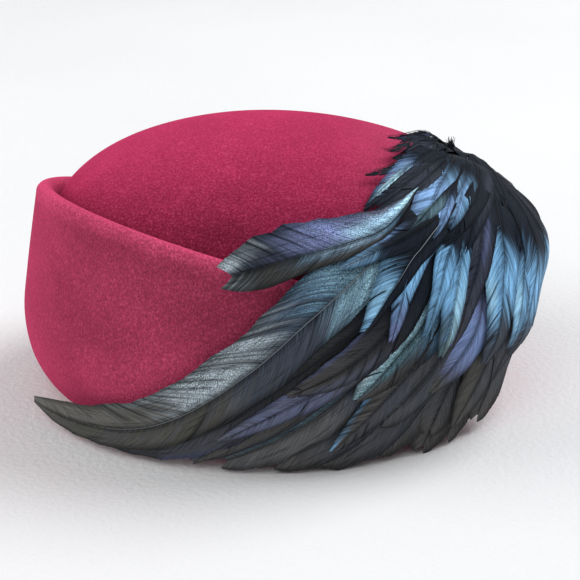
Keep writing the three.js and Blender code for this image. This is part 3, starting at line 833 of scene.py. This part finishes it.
def slit_places(shaft, side, rng):
    """Distances along the shaft where the barbs of one vane part."""
    if "slits" in shaft.row:
        left, right = shaft.row["slits"]
        return np.array(right if side == RIGHT else left) * shaft.length
    count = rng.poisson(shaft.length / VANE.slit_every)
    return np.sort(rng.uniform(0.25, 0.95, count)) * shaft.length


def vane_side(shaft, starts, side, rng):
    """One vane from the shaft outwards: the faces to keep, then for each point its distance along,
    its place across, its rise, barb coordinates and colour."""
    row, barbs = shaft.row, len(starts)
    loose = row.get("loose", 0.0)
    uneven = (VANE.ragged + LOOSE.lengths * loose) * wander(rng, barbs, 1)
    uneven += row.get("wavy", VANE.wavy) * wander(rng, barbs, 16)
    reach = barb_reach(shaft, starts, side) * (1.0 + uneven)
    t = np.linspace(0.0, 1.0, VANE.barb_steps + 1)
    whole = rng.random((barbs - 1, 1)) > LOOSE.gaps * loose
    keep = whole | (t[1:] < rng.uniform(0.1, 0.7, (barbs - 1, 1)))
    shift, shaded = np.zeros((barbs, 1)), np.zeros((barbs, 1))
    for slit in slit_places(shaft, side, rng):
        gap = starts - slit
        shift += np.sign(gap) * row.get("slit", VANE.slit) * np.exp(-np.abs(gap) / VANE.slit_reach)
        shaded = np.maximum(shaded, np.exp(-np.abs(gap) / row.get("slit_shade", VANE.slit_shade)))
        # A plain slit leaves a gap in the sheet. One whose width is given only parts the barbs.
        if "slit" not in row:
            keep[max(np.searchsorted(starts[:, 0], slit) - 1, 0)] = t[1:] < rng.uniform(0.1, 0.5)
    distance = starts + shift * t**1.5 + VANE.slant * reach * (0.6 * t + 0.4 * t**2)
    across = side * reach * t
    rise = VANE.ridge * (1.0 - t) ** 2 - VANE.droop * t**2 + VANE.tilt * side * t
    rise = rise + (0.03 * t + LOOSE.lift * loose * t**2) * wander(rng, barbs, 1)
    rise = rise + VANE.ripple * t**2 * wander(rng, barbs, 20)
    share, height = shaft.read(shaft.share, distance), shaft.read(shaft.height, distance)
    colours = paint(shaft, share, height, t, side, rng)
    # Painted shade beside the slits.
    colours[..., :3] *= 1.0 - 0.8 * (shaded * smoothstep(t, 0.1, 0.5))[..., None]
    return keep, distance, across, rise, pairs(starts, across * VANE.uv_across), colours


def make_vanes(shaft, rng):
    """Both vanes of a feather as one thin closed sheet: points, quads, barb coordinates, colours."""
    starts = np.arange(VANE.barb_spacing, shaft.end, VANE.barb_spacing)[:, None]
    keep_right, *right = vane_side(shaft, starts, RIGHT, rng)
    keep_left, *left = vane_side(shaft, starts, LEFT, rng)
    keep = np.concatenate([keep_left[:, ::-1], keep_right], axis=1)
    # The two vanes share the points on the shaft.
    distance, across, rise, uv, colours = (
        np.concatenate([a[:, :0:-1], b], axis=1) for a, b in zip(left, right)
    )
    top = shaft.place(distance, across, rise)
    under = shaft.place(distance, across, rise - VANE.thickness)
    uv = uv + rng.uniform(0, 900, 2)
    barbs, columns = top.shape[:2]
    sheet = quad_grid(barbs, columns)[keep]
    count = barbs * columns
    quads = np.concatenate([sheet, sheet[:, ::-1] + count, sheet_rim(sheet, count)])
    points = np.concatenate([top.reshape(-1, 3), under.reshape(-1, 3)])
    return points, quads, np.tile(uv.reshape(-1, 2), (2, 1)), np.tile(colours.reshape(-1, 4), (2, 1))


def sheet_rim(sheet, count):
    """Quads that close the open edges of a sheet against its copy, count points further on."""
    edges = np.stack([sheet.T, np.roll(sheet.T, -1, axis=0)], axis=-1).reshape(-1, 2)
    codes = edges[:, 0] * count + edges[:, 1]
    paired = np.isin(codes, edges[:, 1] * count + edges[:, 0])
    start, end = edges[~paired].T
    return np.stack([end, start, start + count, end + count], axis=-1)


def make_tube(centres, radii, outward, sides):
    """A closed tube along points. Gives points, quads and end triangles."""
    forward = unit(np.gradient(centres, axis=0))
    right = unit(np.cross(forward, outward))
    angle = (np.arange(sides) * 2 * np.pi / sides)[:, None]
    ring = np.cos(angle) * right[:, None] + np.sin(angle) * outward[:, None]
    points = centres[:, None] + ring * radii[:, None, None]
    quads = quad_grid(len(centres), sides, close_columns=True)[..., [0, 3, 2, 1]]
    last = (len(centres) - 1) * sides
    turns = range(1, sides - 1)
    ends = [[0, k + 1, k] for k in turns] + [[last, last + k, last + k + 1] for k in turns]
    return points.reshape(-1, 3), quads.reshape(-1, 4), np.array(ends)


def make_feathers(name, rows):
    """All feathers of one tier: one mesh of vanes and one of shafts."""
    vanes, shafts = [], []
    for order, row in enumerate(rows):
        rng = np.random.default_rng(len(name) * 100 + order)
        shaft = Shaft(name, row, order)
        points, quads, uv, colours = make_vanes(shaft, rng)
        grit = 0.1 + row.get("grit", VANE.grit) * colours[:, 3]
        vanes.append((points, quads, NO_TRIANGLES, uv, colours, grit))
        distance = np.linspace(0.0, shaft.end, SHAFT.points)
        thick = min(row["width"] / SHAFT.full_width, 1.0)
        radii = mix(SHAFT.root_radius, SHAFT.tip_radius, distance / shaft.length) * thick
        tube = shaft.tube(distance, 0.0, SHAFT.rise, radii)
        shafts.append((*tube, np.full(len(tube[0]), row.get("pale_shaft", 0.0))))
    vane_piece, (uv, colours, grit) = join_parts(name + "_vanes", vanes)
    vane_piece.data.set_sharp_from_angle(angle=math.radians(VANE.crease))
    add_uv(vane_piece, uv)
    add_numbers(vane_piece, vane_colour=colours, grit=grit)
    shaft_piece, (pale,) = join_parts(name + "_shafts", shafts)
    add_numbers(shaft_piece, pale_shaft=pale)
    return vane_piece, shaft_piece


def make_hair():
    """Loose dark barbs along the hackles' edges, and a small tuft that stands up at the roots."""
    rng = np.random.default_rng(7)
    strands = []
    along = np.linspace(0.0, 1.0, HAIR.points)
    radii = mix(HAIR.radius, HAIR.tip_radius, along)
    for order, row in enumerate(HACKLES):
        shaft = Shaft("hackles", row, order)
        for _ in range(row.get("hairs", 0)):
            side = rng.choice([LEFT, RIGHT])
            start = rng.uniform(*HAIR.starts) * shaft.length
            distance = start + rng.uniform(*HAIR.lengths) * shaft.length * along
            edge = shaft.half_width(distance) + 0.3
            across = side * (edge * rng.uniform(0.2, 1.0) + rng.uniform(0.0, 1.0) * along**2)
            rise = 0.25 + rng.uniform(-0.2, 0.2) * along
            strands.append(shaft.tube(distance, across, rise, radii, sides=3))
    azimuth, height = TUFT.place
    middle = drape_point(math.radians(azimuth), height, TUFT.lift)[0]
    outward = np.tile([0.0, 1.0, 0.0], (len(along), 1))
    for _ in range(TUFT.strands):
        lean = np.array([*rng.uniform(-TUFT.lean, TUFT.lean, 2), 1.0])
        base = middle + rng.uniform(-TUFT.reach, TUFT.reach, 3) * (1, 1, 0)
        centres = base + along[:, None] * lean * rng.uniform(*TUFT.lengths)
        strands.append(make_tube(centres, TUFT.thick * radii, outward, sides=3))
    return join_parts("root_hair", strands)[0]


# ---- stage
CAMERA = Sizes(elevation=22.0, distance=650.0, target_height=37.0, sensor_width=36.0)
# Lengths across the frame, in its own pixels.
FRAME = Sizes(width=580, focal_length=1625.0, shift=5.0)
FLOOR_REACH = 4000.0
STUDIO = {"Color": (0.95, 0.97, 1.0, 1.0), "Strength": 0.47}
# Soft round lights: name, place and size in metres, power in watts, and colour.
LIGHTS = (
    ("left", (-1.6, 0.0, 0.8), 1.3, 17.0, (1.0, 1.0, 1.0)),
    ("right", (1.4, 0.7, 1.9), 1.6, 50.0, (0.97, 0.98, 1.0)),
    ("front", (-0.6, -1.8, 2.0), 1.6, 14.0, (1.0, 1.0, 1.0)),
)
LIGHTS_AIM = Vector((0.0, 0.0, 0.05))


def add_camera():
    elevation = math.radians(CAMERA.elevation)
    target = Vector((*HAT_CENTRE, CAMERA.target_height)) * MM
    back = Vector((0.0, -math.cos(elevation), math.sin(elevation))) * CAMERA.distance * MM
    data = bpy.data.cameras.new("camera")
    data.sensor_width = CAMERA.sensor_width
    data.lens = FRAME.focal_length / FRAME.width * CAMERA.sensor_width
    data.shift_x = FRAME.shift / FRAME.width
    camera = bpy.data.objects.new("camera", data)
    camera.location = target + back
    camera.rotation_euler = (-back).to_track_quat("-Z", "Y").to_euler()
    bpy.context.scene.collection.objects.link(camera)
    bpy.context.scene.camera = camera


def add_area_light(name, place, size, power, colour):
    data = bpy.data.lights.new(name, "AREA")
    data.shape = "DISK"
    data.size = size
    data.energy = power
    data.color = colour
    light = bpy.data.objects.new(name, data)
    light.location = place
    light.rotation_euler = (LIGHTS_AIM - Vector(place)).to_track_quat("-Z", "Y").to_euler()
    bpy.context.scene.collection.objects.link(light)


def add_stage():
    corners = FLOOR_REACH * np.array([[-1, -1, 0], [1, -1, 0], [1, 1, 0], [-1, 1, 0]])
    floor = make_mesh("floor", corners, np.array([[0, 1, 2, 3]]))
    floor.data.materials.append(floor_material())
    world = bpy.data.worlds.new("studio")
    world.use_nodes = True
    for socket, value in STUDIO.items():
        world.node_tree.nodes["Background"].inputs[socket].default_value = value
    bpy.context.scene.world = world
    for light in LIGHTS:
        add_area_light(*light)
    bpy.context.scene.view_settings.view_transform = "Standard"


# ---- the hat
def add_piece(piece, material, node=None):
    piece.data.materials.append(material)
    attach(piece, "root")
    if node:
        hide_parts(node)


felt = felt_material()
vane = vane_material()
horn = shaft_material()
add_piece(make_crown(), felt, "crown")
add_piece(make_cuff(), felt, "cuff")
for name, rows, slot in (
    ("under_feathers", UNDER_FEATHERS, "charcoal_feather"),
    ("drape_feathers", DRAPE_FEATHERS, "blue_feather"),
    ("long_feather", LONG_FEATHERS, "teal_feather"),
    ("cover_feathers", COVER_FEATHERS, "blue_feather"),
    ("notched_feather", NOTCHED_FEATHERS, "violet_feather"),
    ("hackles", HACKLES, "black_feather"),
):
    vanes, shafts = make_feathers(name, rows)
    add_piece(vanes, vane, name)
    add_piece(shafts, horn)
add_piece(make_hair(), hair_material())

add_camera()
add_stage()
